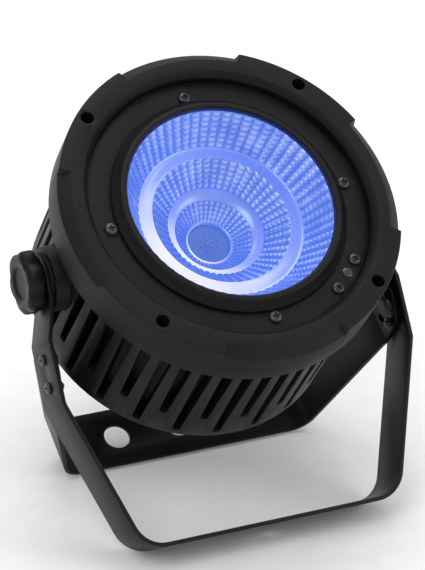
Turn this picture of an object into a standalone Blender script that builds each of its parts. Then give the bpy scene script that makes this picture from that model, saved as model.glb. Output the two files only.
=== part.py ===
"""Par can light on a folding double bracket, built as separate parts. Metres, +Z up."""
import math

import bmesh
import bpy
from mathutils import Matrix, Vector

# overall sizes
ring_radius = 0.125          # outside of the front ring
lamp_front = 0.0737          # pivot to the flat front of the ring
lamp_rear = 0.0666           # pivot to the rear face of the housing
yoke_drop = 0.2023           # pivot to the underside of the front yoke's bar
stand_drop = 0.1388          # fold axis to the underside of the stand's bar

# stance
lamp_tilt_deg = 20.4         # lamp against the front yoke
stand_open_deg = 65.1        # stand against the front yoke
stand_close_deg = 45.0       # how far it folds in from there
stand_past_deg = 6.0         # and out

# fits and sheet
gap = 0.0003                 # clearance left between pieces that touch
strap_thickness = 0.003
yoke_width = 0.040
stand_width = 0.047
stand_attach = 0.056         # pivot to the fold axis, down the yoke leg
lock_radius = 0.020          # fold axis to the lock screw
side_room = 0.0136           # ring to the outside of the yoke leg
leg_jog = 0.0082             # how far the leg steps inward at the pivot

# lamp body
ring_length = 0.0347
ring_wall = 0.0035
housing_radius = ring_radius - 0.0079
housing_taper = 0.0015
slot_count = 48
slot_depth = 0.0140
slot_front_width = 0.0094
slot_rear_width = 0.0060
short_slot_end = 0.0263      # rear end of the short slots, ahead of the rear face
long_slot_end = 0.0053
casting_wall = 0.0040
plate_thickness = 0.003
plate_depth = 0.0097         # front plate below the ring's flat
reflector_rim = 0.0760
trunnion_radius = 0.0235
cob_radius = 0.0154
cob_depth = 0.0640           # emitter below the ring's flat

# fasteners
m4_radius = 0.0020
m3_radius = 0.0015
pan_head_radius = 0.0047
pan_head_height = 0.0024
counterbore_radius = 0.0049
stud_radius = 0.0040

# derived
bore_radius = housing_radius - slot_depth - casting_wall
flange_radius = ring_radius - ring_wall - gap
ring_rear = lamp_front - ring_length
plate_top = lamp_front - plate_depth
plate_under = plate_top - plate_thickness
plate_radius = ring_radius - 0.0213
ledge = plate_under - 0.009
tab_radius = ring_radius - 0.0078
bezel_bore = reflector_rim + 0.0008
bezel_foot = bezel_bore + 0.0097
leg_x = ring_radius + side_room
pivot_x = leg_x - leg_jog
cob_top = lamp_front - cob_depth
sink_top = cob_top - 0.0036
cover_radius = bore_radius + 0.0067
cover_in = -lamp_rear + 0.0033
cover_out = cover_in - 0.003
washer_thickness = 0.0015

for old in list(bpy.data.objects):
    bpy.data.objects.remove(old, do_unlink=True)


def material(name, colour, rough, metal=0.0):
    m = bpy.data.materials.new(name)
    m.use_nodes = True
    b = m.node_tree.nodes["Principled BSDF"]
    b.inputs["Base Color"].default_value = (*colour, 1.0)
    b.inputs["Roughness"].default_value = rough
    b.inputs["Metallic"].default_value = metal
    m.diffuse_color = (*colour, 1.0)
    return m


black = material("black_powder_coat", (0.030, 0.030, 0.032), 0.45)
casting = material("black_casting", (0.028, 0.028, 0.030), 0.5)
steel = material("zinc_steel", (0.55, 0.56, 0.58), 0.35, 1.0)
chrome = material("vacuum_metallised", (0.82, 0.85, 0.92), 0.12, 1.0)
glass = material("clear_glass", (0.75, 0.80, 0.86), 0.05)
rubber = material("black_rubber", (0.020, 0.020, 0.020), 0.8)
nylon = material("black_nylon", (0.028, 0.028, 0.030), 0.5)
alu = material("bare_aluminium", (0.70, 0.71, 0.72), 0.4, 1.0)
phosphor = material("emitter", (0.10, 0.25, 0.95), 0.4)
board = material("green_board", (0.02, 0.20, 0.07), 0.5)
dark_glass = material("dark_glass", (0.01, 0.03, 0.02), 0.1)
blue_socket = material("blue_nylon", (0.03, 0.10, 0.45), 0.5)
grey_socket = material("grey_nylon", (0.35, 0.36, 0.37), 0.5)


def finish(name, bm, mat, parent, smooth=True):
    bmesh.ops.remove_doubles(bm, verts=bm.verts, dist=1e-6)
    bmesh.ops.recalc_face_normals(bm, faces=bm.faces)
    me = bpy.data.meshes.new(name)
    bm.to_mesh(me)
    bm.free()
    ob = bpy.data.objects.new(name, me)
    bpy.context.scene.collection.objects.link(ob)
    me.materials.append(mat)
    ob.parent = parent
    if smooth:
        me.shade_smooth()
        me.set_sharp_from_angle(angle=math.radians(35))
    return ob


def loft(loops, caps=True):
    """Skin a list of loops that all hold the same number of points."""
    bm = bmesh.new()
    rows = [[bm.verts.new(p) for p in loop] for loop in loops]
    n = len(rows[0])
    pairs = list(zip(rows[:-1], rows[1:]))
    if not caps:
        pairs.append((rows[-1], rows[0]))
    for a, b in pairs:
        for i in range(n):
            j = (i + 1) % n
            bm.faces.new((a[i], a[j], b[j], b[i]))
    if caps:
        bm.faces.new(rows[0][::-1])
        bm.faces.new(rows[-1])
    return bm


def circle(radius, height, segments, at=(0.0, 0.0), turn=0.0):
    out = []
    for i in range(segments):
        a = turn + math.tau * i / segments
        out.append((at[0] + radius * math.cos(a), at[1] + radius * math.sin(a), height))
    return out


def turned(profile, segments, at=(0.0, 0.0)):
    """Solid disc-like piece from (radius, height) pairs, closed over the axis at both ends."""
    return loft([circle(r, z, segments, at) for r, z in profile])


def hoop(profile, segments):
    """Ring from a closed (radius, height) section."""
    return loft([circle(r, z, segments) for r, z in profile], caps=False)


def box(x0, x1, y0, y1, z0, z1):
    return loft([[(x0, y0, z), (x1, y0, z), (x1, y1, z), (x0, y1, z)] for z in (z0, z1)])


def along_x(bm, side=1.0):
    """Turn a piece built up +Z so that it runs out along +X, or -X when side is -1."""
    m = Matrix(((0, 0, side, 0), (side, 0, 0, 0), (0, 1, 0, 0), (0, 0, 0, 1)))
    bm.transform(m)
    return bm


def merged(parts):
    """Several loose closed shapes in one mesh, used as a cutter."""
    out = bmesh.new()
    for p in parts:
        tmp = bpy.data.meshes.new("tmp")
        p.to_mesh(tmp)
        out.from_mesh(tmp)
        bpy.data.meshes.remove(tmp)
        p.free()
    return out


def combine(ob, bm, operation):
    bmesh.ops.recalc_face_normals(bm, faces=bm.faces)
    me = bpy.data.meshes.new("tool")
    bm.to_mesh(me)
    bm.free()
    tool = bpy.data.objects.new("tool", me)
    bpy.context.scene.collection.objects.link(tool)
    tool.parent = ob.parent
    mod = ob.modifiers.new("b", 'BOOLEAN')
    mod.operation = operation
    mod.solver = 'EXACT'
    mod.object = tool
    bpy.context.view_layer.update()
    dg = bpy.context.evaluated_depsgraph_get()
    new = bpy.data.meshes.new_from_object(ob.evaluated_get(dg))
    old = ob.data
    ob.modifiers.clear()
    ob.data = new
    new.name = ob.name
    bpy.data.objects.remove(tool, do_unlink=True)
    bpy.data.meshes.remove(old)
    clean = bmesh.new()
    clean.from_mesh(new)
    bmesh.ops.remove_doubles(clean, verts=clean.verts, dist=2e-6)
    bmesh.ops.dissolve_limit(clean, angle_limit=0.0005, verts=clean.verts, edges=clean.edges)
    clean.to_mesh(new)
    clean.free()
    new.shade_smooth()
    new.set_sharp_from_angle(angle=math.radians(35))


def cut(ob, bm):
    combine(ob, bm, 'DIFFERENCE')


def join(ob, bm):
    combine(ob, bm, 'UNION')


def polar(radius, degrees):
    a = math.radians(degrees)
    return (radius * math.cos(a), radius * math.sin(a))


# stance: lean of the yoke so that both bars stand on the floor
def floor_depth(lean, along, half, turn):
    return along * math.cos(lean - turn) + half * abs(math.sin(lean - turn))


def yoke_reach(lean):
    return floor_depth(lean, yoke_drop, yoke_width / 2, 0.0)


def stand_reach(lean):
    turn = math.radians(stand_open_deg)
    return stand_attach * math.cos(lean) + floor_depth(lean, stand_drop, stand_width / 2, turn)


low, high = math.radians(5), math.radians(60)
for _ in range(60):
    lean = (low + high) / 2
    if yoke_reach(lean) > stand_reach(lean):
        low = lean
    else:
        high = lean
pivot_height = yoke_reach(lean)


def empty(name, parent, where, turn_x):
    e = bpy.data.objects.new(name, None)
    e.empty_display_size = 0.03
    bpy.context.scene.collection.objects.link(e)
    e.parent = parent
    e.location = where
    e.rotation_euler = (turn_x, 0.0, 0.0)
    return e


root = empty("par_can", None, (0.0, 0.0, 0.0), 0.0)
elevation = lean + math.radians(lamp_tilt_deg)
yoke_frame = empty("yoke_frame", root, (0.0, 0.0, pivot_height), -lean)
lamp_frame = empty("lamp_frame", root, (0.0, 0.0, pivot_height), math.pi / 2 - elevation)
attach_at = Vector((0.0, -math.sin(lean), -math.cos(lean))) * stand_attach
attach_at.z += pivot_height
stand_frame = empty("stand_frame", root, attach_at, math.radians(stand_open_deg) - lean)


# front ring with four raised screw pads
def ring_section(angle_deg):
    nearest = min(abs((angle_deg - a + 180) % 360 - 180) for a in (45, 135, 225, 315))
    pad = min(1.0, max(0.0, (23.4 - nearest) / 0.8))
    edge_z = lamp_front - 0.0077 + pad * 0.0065
    return [
        (plate_radius + gap, lamp_front - 0.005),
        (ring_radius - 0.0171, lamp_front),
        (ring_radius - 0.0084, lamp_front),
        (ring_radius - 0.0084 + pad * 0.0076, lamp_front - pad * 0.0004),
        (ring_radius, edge_z),
        (ring_radius, ring_rear + 0.0008),
        (ring_radius - 0.0008, ring_rear),
        (flange_radius + gap, ring_rear),
        (flange_radius + gap, ledge),
        (plate_radius + gap, ledge),
    ]


sector_deg = 360.0 / slot_count
ring_angles = set(sector_deg * (i + 0.5) for i in range(slot_count))
for centre in (45, 135, 225, 315):
    for off in (-23.4, -22.6, 22.6, 23.4):
        ring_angles.add(centre + off)
ring_angles = sorted(ring_angles)
sections = []
for a in ring_angles:
    row = ring_section(a)
    sections.append([(*polar(r, a), z) for r, z in row])
front_ring = finish("front_ring", loft(sections, caps=False), casting, lamp_frame)
holes = []
for a in (45, 135, 225, 315):
    at = polar(tab_radius, a)
    holes.append(turned([(m4_radius + gap, ledge - 0.002), (m4_radius + gap, ledge + 0.005),
                         (counterbore_radius, ledge + 0.0051), (counterbore_radius, lamp_front + 0.002)], 16, at))
cut(front_ring, merged(holes))


def pan_screw(name, at, seat, length, radius, head, height, parent, flip=1.0):
    """Domed head on a plain shank. seat is the face under the head; the head points to flip * Z."""
    f = flip
    prof = [(radius * 0.7, seat - f * length), (radius, seat - f * (length - 0.0006)), (radius, seat + f * gap),
            (head, seat + f * gap), (head, seat + f * (gap + height * 0.45)), (head * 0.55, seat + f * (gap + height))]
    return finish(name, turned(prof, 10, at), steel, parent)


for i, a in enumerate((45, 135, 225, 315)):
    pan_screw("ring_screw_%d" % (i + 1), polar(tab_radius, a), ledge + 0.0051, 0.0098, m4_radius,
              0.0036, 0.0030, lamp_frame)

# housing casting
flange_rear = ledge - gap - 0.0057
housing_rear_radius = housing_radius - housing_taper
inner_seat = plate_under - gap
lip_radius = bore_radius - 0.003
half_sector = math.pi / slot_count


def wall_radius(z):
    t = (flange_rear - z) / (flange_rear + lamp_rear)
    return housing_radius - (housing_radius - housing_rear_radius) * t


def slot_outline(rear):
    """Left edge of a slot as (half width, height), from the flange back to the tip of its round end."""
    w0, w1 = slot_front_width / 2, slot_rear_width / 2
    start = rear + w1
    return [(w0, flange_rear), (w1, start), (w1 * 0.80, start - w1 * 0.60), (w1 * 0.42, start - w1 * 0.91),
            (0.0, rear)]


def finned_casting():
    """Housing tube with its radial slots. Each sector of the outside is drawn round its own slot."""
    bm = bmesh.new()
    ends = [-lamp_rear + short_slot_end, -lamp_rear + long_slot_end]
    levels = sorted({z for e in ends for _, z in slot_outline(e)} | {-lamp_rear}, reverse=True)
    floor_x = housing_radius - slot_depth
    back = [
        (flange_radius, ledge - gap), (plate_radius, ledge - gap), (plate_radius, inner_seat),
        (bezel_foot - 0.0025, inner_seat), (bezel_foot - 0.0025, ledge - 0.002), (bore_radius, ledge - 0.002),
        (bore_radius, -lamp_rear + 0.0126), (lip_radius, -lamp_rear + 0.0096), (lip_radius, -lamp_rear + 0.0036),
        (cover_radius + gap, -lamp_rear + 0.0036), (cover_radius + gap, -lamp_rear),
    ]
    for k in range(slot_count):
        turn = Matrix.Rotation(2 * half_sector * k, 3, 'Z')

        def at(radius, angle, z):
            return bm.verts.new(turn @ Vector((radius * math.cos(angle), radius * math.sin(angle), z)))

        def on_wall(w, z):
            r = wall_radius(z)
            return bm.verts.new(turn @ Vector((math.sqrt(r * r - w * w), w, z)))

        def on_floor(w, z):
            return bm.verts.new(turn @ Vector((floor_x, w, z)))

        line = slot_outline(ends[k % 2])
        rear_mid = at(housing_rear_radius, 0.0, -lamp_rear)
        rim = {side: at(flange_radius, side * half_sector, flange_rear) for side in (-1, 1)}
        tips = []
        floors = []
        for side in (-1, 1):
            column = {z: at(wall_radius(z), side * half_sector, z) for z in levels}
            lip = [on_wall(side * w, z) for w, z in line]
            low = [on_floor(side * w, z) for w, z in line]
            for i in range(len(line) - 1):
                here = [column[z] for z in levels if line[i + 1][1] - 1e-9 <= z <= line[i][1] + 1e-9]
                for u, v in zip(here[:-1], here[1:]):
                    bm.faces.new((lip[i], u, v))
                bm.faces.new((lip[i], here[-1], lip[i + 1]))
                bm.faces.new((lip[i], lip[i + 1], low[i + 1], low[i]))
            below = [column[z] for z in levels if z <= line[-1][1] + 1e-9]
            for u, v in zip(below[:-1], below[1:]):
                bm.faces.new((lip[-1], u, v))
            bm.faces.new((lip[-1], below[-1], rear_mid))
            bm.faces.new((rim[side], column[flange_rear], lip[0]))
            tips.append(lip[0])
            floors.append(low)
        bm.faces.new((rim[-1], tips[0], tips[1]))
        bm.faces.new((rim[-1], tips[1], rim[1]))
        bm.faces.new((tips[0], floors[0][0], floors[1][0], tips[1]))
        bm.faces.new(floors[0][:-1] + floors[1][::-1])
        rows = [(rim[-1], rim[1])]
        rows += [(at(r, -half_sector, z), at(r, half_sector, z)) for r, z in back]
        for (a, b), (c, d) in zip(rows[:-1], rows[1:]):
            bm.faces.new((a, b, d, c))
        bm.faces.new((rows[-1][0], rows[-1][1], at(housing_rear_radius, half_sector, -lamp_rear), rear_mid))
        bm.faces.new((rows[-1][0], rear_mid, at(housing_rear_radius, -half_sector, -lamp_rear)))
    bmesh.ops.remove_doubles(bm, verts=bm.verts, dist=1e-6)
    return bm


housing = finish("housing", finned_casting(), casting, lamp_frame)
flat_x = bore_radius + 0.0022
cut(housing, merged([along_x(turned([(trunnion_radius + gap, flat_x), (trunnion_radius + gap, ring_radius + 0.01)],
                                    32), s) for s in (1.0, -1.0)]))
plate_screw_radius = ring_radius - 0.0336
sensor_screw_radius = ring_radius - 0.0282
threads = []
plate_spots = [(plate_screw_radius, a) for a in (1.5, 91.5, 181.5, 271.5)]
sensor_spots = [(sensor_screw_radius, a) for a in (322.4, 305.5)]
for r, a in plate_spots + sensor_spots:
    threads.append(turned([(m4_radius + gap, inner_seat - 0.0075), (m4_radius + gap, inner_seat + 0.001)], 12,
                          polar(r, a)))
for a in (45, 135, 225, 315):
    threads.append(turned([(m4_radius + gap, flange_rear - 0.003), (m4_radius + gap, ledge + 0.001)], 12,
                          polar(tab_radius, a)))
cover_screw_radius = bore_radius + 0.0022
for a in (45, 135, 225, 315):
    threads.append(turned([(m3_radius + gap, -lamp_rear + 0.001), (m3_radius + gap, -lamp_rear + 0.0116)], 12,
                          polar(cover_screw_radius, a)))
cut(housing, merged(threads))

# front plate, screws and sensor
front_plate = finish("front_plate", hoop([(bezel_bore + 0.0022, plate_under), (plate_radius, plate_under),
                                          (plate_radius, plate_top), (bezel_bore + 0.0022, plate_top)], 56),
                     casting, lamp_frame)
openings = [turned([(m4_radius + gap, plate_under - 0.001), (m4_radius + gap, plate_top + 0.001)], 12, polar(r, a))
            for r, a in plate_spots + sensor_spots]
sensor_at = polar(sensor_screw_radius - 0.001, 315.0)
openings.append(turned([(0.0042, plate_under - 0.001), (0.0042, plate_top + 0.001)], 16, sensor_at))
cut(front_plate, merged(openings))
for i, (r, a) in enumerate(plate_spots):
    pan_screw("plate_screw_%d" % (i + 1), polar(r, a), plate_top, 0.009, m4_radius, pan_head_radius,
              pan_head_height, lamp_frame)
for i, (r, a) in enumerate(sensor_spots):
    pan_screw("sensor_screw_%d" % (i + 1), polar(r, a), plate_top, 0.009, m4_radius, pan_head_radius,
              pan_head_height, lamp_frame)
finish("sensor_window", turned([(0.0042 - gap, plate_under + 0.0002), (0.0042 - gap, plate_top + 0.0003),
                                (0.003, plate_top + 0.0008)], 16, sensor_at), dark_glass, lamp_frame)

# lens bezel, its seal and the glass
seal_top = plate_top + gap + 0.0007
finish("bezel_gasket", hoop([(bezel_bore + 0.0030, plate_top + gap), (bezel_foot - 0.0008, plate_top + gap),
                             (bezel_foot - 0.0008, seal_top), (bezel_bore + 0.0030, seal_top)], 48), rubber, lamp_frame)
crest = lamp_front - 0.0004
finish("lens_bezel", hoop([(bezel_bore, seal_top + gap), (bezel_foot, seal_top + gap), (bezel_foot, seal_top + 0.0015),
                           (bezel_bore + 0.0040, crest - 0.0006), (bezel_bore + 0.0030, crest),
                           (bezel_bore, crest)], 56), casting, lamp_frame)
glass_under = crest - 0.0015
finish("front_glass", turned([(bezel_bore - gap, glass_under), (bezel_bore - gap, glass_under + 0.0012)], 56),
       glass, lamp_frame)

# reflector: three stepped cones down to the emitter
rim_z = glass_under - gap
neck = cob_radius + 0.0006
k = reflector_rim / 0.076
inside = [(reflector_rim, rim_z), (0.0613 * k, lamp_front - 0.0294), (0.0511 * k, lamp_front - 0.0282),
          (0.0357 * k, lamp_front - 0.0444), (0.0287 * k, lamp_front - 0.0503), (neck, cob_top + 0.0005)]
skin = 0.0014
outside = [(neck + skin, cob_top + 0.0005), (0.0287 * k + skin, lamp_front - 0.0503 - skin * 0.6),
           (0.0357 * k + skin, lamp_front - 0.0444 - skin * 0.6), (0.0511 * k + 0.0006, lamp_front - 0.0282 - skin),
           (0.0613 * k + skin, lamp_front - 0.0294 - skin), (reflector_rim + 0.0005, rim_z - 0.0012),
           (reflector_rim + 0.0005, rim_z)]
finish("reflector", hoop(inside + outside, 40), chrome, lamp_frame)

# emitter, holder, heat sink
cob = finish("cob_led", turned([(0.021, sink_top + gap), (0.021, cob_top - 0.0015), (cob_radius, cob_top - 0.0015),
                                (cob_radius, cob_top)], 40), phosphor, lamp_frame)
finish("cob_holder", hoop([(0.0214, sink_top + gap), (0.028, sink_top + gap), (0.028, sink_top + 0.0040),
                           (0.0235, sink_top + 0.0044), (0.0214, sink_top + 0.0030)], 32), nylon, lamp_frame)
sink = finish("heatsink_core", turned([(bore_radius - gap, sink_top - 0.005), (bore_radius - gap, sink_top)], 64),
              alu, lamp_frame)
fin_half = bore_radius * 0.56
fin_count = 9
fin_pitch = fin_half * 2 / (fin_count - 1)
comb_top = sink_top - 0.004
comb = [(-fin_half - 0.001, comb_top), (-fin_half - 0.001, sink_top - 0.037)]
for i in range(fin_count):
    x = -fin_half + fin_pitch * i
    comb.append((x - 0.001, sink_top - 0.037))
    comb.append((x + 0.001, sink_top - 0.037))
    if i < fin_count - 1:
        comb.append((x + 0.001, sink_top - 0.008))
        comb.append((x + fin_pitch - 0.001, sink_top - 0.008))
comb.append((fin_half + 0.001, comb_top))
clean_comb = []
for p in comb:
    if not clean_comb or (abs(p[0] - clean_comb[-1][0]) + abs(p[1] - clean_comb[-1][1])) > 1e-7:
        clean_comb.append(p)
join(sink, loft([[(x, y, z) for x, z in clean_comb] for y in (-fin_half, fin_half)]))

# rear cover and everything on it
rear_cover = finish("rear_cover", turned([(cover_radius, cover_out), (cover_radius, cover_in)], 56), casting,
                    lamp_frame)
socket_spots = {
    "dmx_in": (-0.030, -0.016), "dmx_out": (0.030, -0.016), "power_in": (-0.030, -0.058), "power_out": (0.030, -0.058),
}
button_x = (-0.024, -0.008, 0.008, 0.024)
button_y = 0.022
display_y = 0.045
eye_at = (0.0, 0.078)
barrel = 0.0110
button_radius = 0.0040
cuts = [turned([(barrel + gap, cover_out - 0.001), (barrel + gap, cover_in + 0.001)], 20, at)
        for at in socket_spots.values()]
for x in button_x:
    cuts.append(turned([(button_radius + gap, cover_out - 0.001), (button_radius + gap, cover_in + 0.001)], 16,
                       (x, button_y)))
for a in (45, 135, 225, 315):
    cuts.append(turned([(m3_radius + gap, cover_out - 0.001), (m3_radius + gap, cover_in + 0.001)], 12,
                       polar(cover_screw_radius, a)))
cuts.append(turned([(0.003 + gap, cover_out - 0.001), (0.003 + gap, cover_in + 0.001)], 16, eye_at))
cuts.append(box(-0.0223, 0.0223, display_y - 0.0093, display_y + 0.0093, cover_out - 0.001, cover_out + 0.0016))
cut(rear_cover, merged(cuts))
finish("display_window", box(-0.022, 0.022, display_y - 0.009, display_y + 0.009, cover_out - 0.0002,
                             cover_out + 0.0013), dark_glass, lamp_frame, smooth=False)
for i, a in enumerate((45, 135, 225, 315)):
    pan_screw("rear_cover_screw_%d" % (i + 1), polar(cover_screw_radius, a), cover_out, 0.010, m3_radius, 0.0030,
              0.0019, lamp_frame, flip=-1.0)


def socket(name, at, mat):
    x, y = at
    face = cover_out - gap
    ob = finish(name, box(x - 0.013, x + 0.013, y - 0.0155, y + 0.0155, face - 0.0022, face), mat, lamp_frame)
    join(ob, turned([(barrel, face - 0.0010), (barrel, cover_in + 0.012)], 20, at))
    cut(ob, turned([(0.0085, face - 0.004), (0.0085, cover_in + 0.006)], 20, at))


for name, mat in (("dmx_in", nylon), ("dmx_out", nylon), ("power_in", blue_socket), ("power_out", grey_socket)):
    socket(name, socket_spots[name], mat)
for i, x in enumerate(button_x):
    finish("button_%d" % (i + 1), turned([
        (button_radius * 0.85, cover_out - 0.0022), (button_radius, cover_out - 0.0016),
        (button_radius, cover_in + 0.0006), (button_radius + 0.0014, cover_in + 0.0006),
        (button_radius + 0.0014, cover_in + 0.0016)], 16, (x, button_y)), rubber, lamp_frame)
loop = []
for i in range(16):
    a = math.tau * i / 16
    centre = Vector((eye_at[0] + 0.009 * math.cos(a), eye_at[1], cover_out - 0.0122 + 0.009 * math.sin(a)))
    out = Vector((math.cos(a), 0.0, math.sin(a)))
    row = []
    for j in range(6):
        b = math.tau * j / 6
        row.append(centre + out * (0.0021 * math.cos(b)) + Vector((0.0, 1.0, 0.0)) * (0.0021 * math.sin(b)))
    loop.append(row)
eye = finish("safety_eye", loft(loop, caps=False), steel, lamp_frame)
join(eye, turned([(0.0055, cover_out - 0.0026), (0.0055, cover_out - gap), (0.003, cover_out - gap),
                  (0.003, cover_in + 0.004)], 16, eye_at))

# driver board on four legs standing off the cover
board_z = cover_in + 0.0215
pcb = finish("driver_board", box(-0.052, 0.052, -0.036, 0.036, board_z, board_z + 0.0016), board, lamp_frame, False)
legs = [turned([(0.003, cover_in + gap), (0.003, board_z + 0.0008)], 12, (sx * 0.047, sy * 0.031))
        for sx in (-1, 1) for sy in (-1, 1)]
join(pcb, merged(legs))
join(pcb, merged([box(-0.040, -0.014, -0.022, 0.010, board_z + 0.0012, board_z + 0.0080),
                  box(0.004, 0.016, -0.020, -0.004, board_z + 0.0012, board_z + 0.0075),
                  box(0.024, 0.036, 0.000, 0.020, board_z + 0.0012, board_z + 0.0070)]))

# trunnions, friction washers and knobs
yoke_in_x = pivot_x - strap_thickness
trunnion_end = yoke_in_x - 2 * gap - washer_thickness
for name, s in (("left", -1.0), ("right", 1.0)):
    bm = turned([(trunnion_radius, flat_x + gap), (trunnion_radius, trunnion_end - 0.0010),
                 (trunnion_radius - 0.0010, trunnion_end)], 32)
    tr = finish("trunnion_" + name, along_x(bm, s), casting, lamp_frame)
    cut(tr, along_x(turned([(stud_radius + gap, flat_x + 0.0035), (stud_radius + gap, trunnion_end + 0.002)], 24), s))
    w = hoop([(stud_radius + gap, trunnion_end + gap), (trunnion_radius - 0.004, trunnion_end + gap),
              (trunnion_radius - 0.004, trunnion_end + gap + washer_thickness),
              (stud_radius + gap, trunnion_end + gap + washer_thickness)], 24)
    finish("friction_washer_" + name, along_x(w, s), rubber, yoke_frame)

knob_radius = 0.0238
knob_length = 0.0135


def hexagon(size, height):
    """Hexagon with eased corners and slightly hollow flats, 24 points."""
    out = []
    for i in range(24):
        a = math.tau * i / 24
        f = (math.cos(6 * a) + 1) / 2
        r = size * (0.865 + 0.135 * f ** 0.8)
        out.append((r * math.cos(a), r * math.sin(a), height))
    return out


for name, s in (("left", -1.0), ("right", 1.0)):
    seat = pivot_x + gap
    loops = [circle(stud_radius * 0.8, flat_x + 0.0045, 24), circle(stud_radius, flat_x + 0.0055, 24),
             circle(stud_radius, seat, 24), circle(knob_radius * 0.62, seat, 24),
             circle(knob_radius * 0.62, seat + 0.0018, 24), hexagon(knob_radius * 0.93, seat + 0.0018),
             hexagon(knob_radius, seat + 0.0032), hexagon(knob_radius, seat + knob_length - 0.0036),
             hexagon(knob_radius * 0.86, seat + knob_length), hexagon(knob_radius * 0.62, seat + knob_length),
             circle(knob_radius * 0.50, seat + knob_length - 0.0010, 24)]
    finish("knob_" + name, along_x(loft(loops), s), nylon, yoke_frame)


# sheet straps
def arc_path(points, radii, steps=5):
    """Polyline with its inner corners rounded."""
    out = [Vector(points[0])]
    for i in range(1, len(points) - 1):
        p, q, r = Vector(points[i - 1]), Vector(points[i]), Vector(points[i + 1])
        a = (p - q).normalized()
        b = (r - q).normalized()
        half = math.acos(max(-1.0, min(1.0, a.dot(b)))) / 2
        back = radii[i - 1] / math.tan(half)
        centre = q + (a + b).normalized() * (radii[i - 1] / math.sin(half))
        start = q + a * back
        stop = q + b * back
        u = start - centre
        v = stop - centre
        total = u.angle(v)
        n = max(2, int(round(steps * total / 0.9)) + 1)
        for j in range(n + 1):
            t = j / n
            w = (u * math.sin((1 - t) * total) + v * math.sin(t * total)) / math.sin(total)
            out.append(centre + w)
    out.append(Vector(points[-1]))
    return out


def mirrored(half):
    return half + [(-x, z) for x, z in reversed(half)]


# front yoke
end_radius = 0.0190
round_z = [end_radius * math.sin(math.radians(a)) for a in (78, 62, 45, 27, 10)]
bar_x = leg_x - 0.0375
bend_z = -yoke_drop * 0.447
leg = [(pivot_x, z) for z in round_z] + [(pivot_x, -0.018), (leg_x, -0.044), (leg_x, bend_z), (bar_x, -yoke_drop)]


def yoke_edges(z, x):
    if z > 0.0:
        half = math.sqrt(max(1e-8, end_radius ** 2 - z ** 2))
        return (-half, half)
    t = min(1.0, max(0.0, (-z - 0.034) / 0.020))
    half = end_radius - 0.001 * min(1.0, -z / 0.01) + t * (yoke_width / 2 - end_radius + 0.001)
    return (-half, half)




def strap(points, radii, edges, plain_count):
    """Bent sheet. points run down one leg, across and up the other in X and Z, on the outer face.
    edges(z, x) gives the front and rear Y of the sheet there. The first and last plain_count points
    are the rounded end and keep their own stations."""
    head = points[:plain_count]
    tail = points[len(points) - plain_count:]
    core = points[plain_count - 1:len(points) - plain_count + 1]
    middle = arc_path(core, radii)
    path = [Vector(p) for p in head[:-1]] + middle + [Vector(p) for p in tail[1:]]
    loops = []
    for i, p in enumerate(path):
        before = path[max(0, i - 1)]
        after = path[min(len(path) - 1, i + 1)]
        d1 = (p - before).normalized() if i > 0 else (after - p).normalized()
        d2 = (after - p).normalized() if i < len(path) - 1 else d1
        d = (d1 + d2).normalized()
        n = Vector((d.y, -d.x))
        q = p + n * (strap_thickness / max(0.5, d.dot(d1)))
        y0, y1 = edges(p.y, p.x)
        loops.append([(p.x, y0, p.y), (p.x, y1, p.y), (q.x, y1, q.y), (q.x, y0, q.y)])
    return loft(loops)


half_radii = [0.010, 0.010, 0.012, 0.025]
front_yoke = finish("front_yoke", strap(mirrored(leg), half_radii + half_radii[::-1], yoke_edges, len(round_z)),
                    black, yoke_frame)


def side_hole(radius, y, z, x0, x1, s, segments=24):
    bm = turned([(radius, x0), (radius, x1)], segments, (y, z))
    return along_x(bm, 1.0) if s > 0 else mirror_x(along_x(bm, 1.0))


def mirror_x(bm):
    bm.transform(Matrix.Diagonal((-1.0, 1.0, 1.0, 1.0)))
    bmesh.ops.reverse_faces(bm, faces=bm.faces)
    return bm


through = []
for s in (1.0, -1.0):
    through.append(side_hole(stud_radius + gap, 0.0, 0.0, pivot_x - 0.02, pivot_x + 0.02, s))
    for down in (stand_attach, stand_attach + lock_radius):
        through.append(side_hole(m4_radius + gap, 0.0, -down, leg_x - 0.02, leg_x + 0.02, s, 16))
through.append(turned([(0.0065, -yoke_drop - 0.01), (0.0065, -yoke_drop + 0.01)], 24))
cut(front_yoke, merged(through))

# rear stand
tab_x = leg_x - strap_thickness - gap
stand_bar_x = tab_x - 0.0364


def stand_edges(z, x):
    """Front edge (-Y side) and rear edge of the stand's sheet at height z above the fold axis."""
    front = [(0.0114, 0.0040), (0.0095, 0.0085), (0.0060, 0.0150), (0.0020, 0.0205), (-0.0020, stand_width / 2)]
    rear = [(0.0114, 0.0030), (0.0095, 0.0065), (0.0060, 0.0097), (0.0, 0.0116), (-0.0200, 0.0136),
            (-0.0450, stand_width / 2)]

    def read(table):
        if z >= table[0][0]:
            return table[0][1]
        for (z0, h0), (z1, h1) in zip(table[:-1], table[1:]):
            if z >= z1:
                return h0 + (h1 - h0) * (z0 - z) / (z0 - z1)
        return table[-1][1]

    return (-read(front), read(rear))


tab_z = [0.0114, 0.0095, 0.0060, 0.0020, -0.0020, -0.0200]
stand_leg = [(tab_x, z) for z in tab_z] + [(tab_x, -0.025), (stand_bar_x, -stand_drop)]
stand = finish("stand_bracket", strap(mirrored(stand_leg), [0.012, 0.018, 0.018, 0.012], stand_edges, len(tab_z)),
               black, stand_frame)
bar_holes = [turned([(0.010, -stand_drop - 0.01), (0.010, -stand_drop + 0.01)], 24, (x, 0.0))
             for x in (-0.050, 0.0, 0.050)]
for s in (1.0, -1.0):
    bar_holes.append(side_hole(m4_radius + gap, 0.0, 0.0, tab_x - 0.02, tab_x + 0.02, s, 16))
cut(stand, merged(bar_holes))


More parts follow.
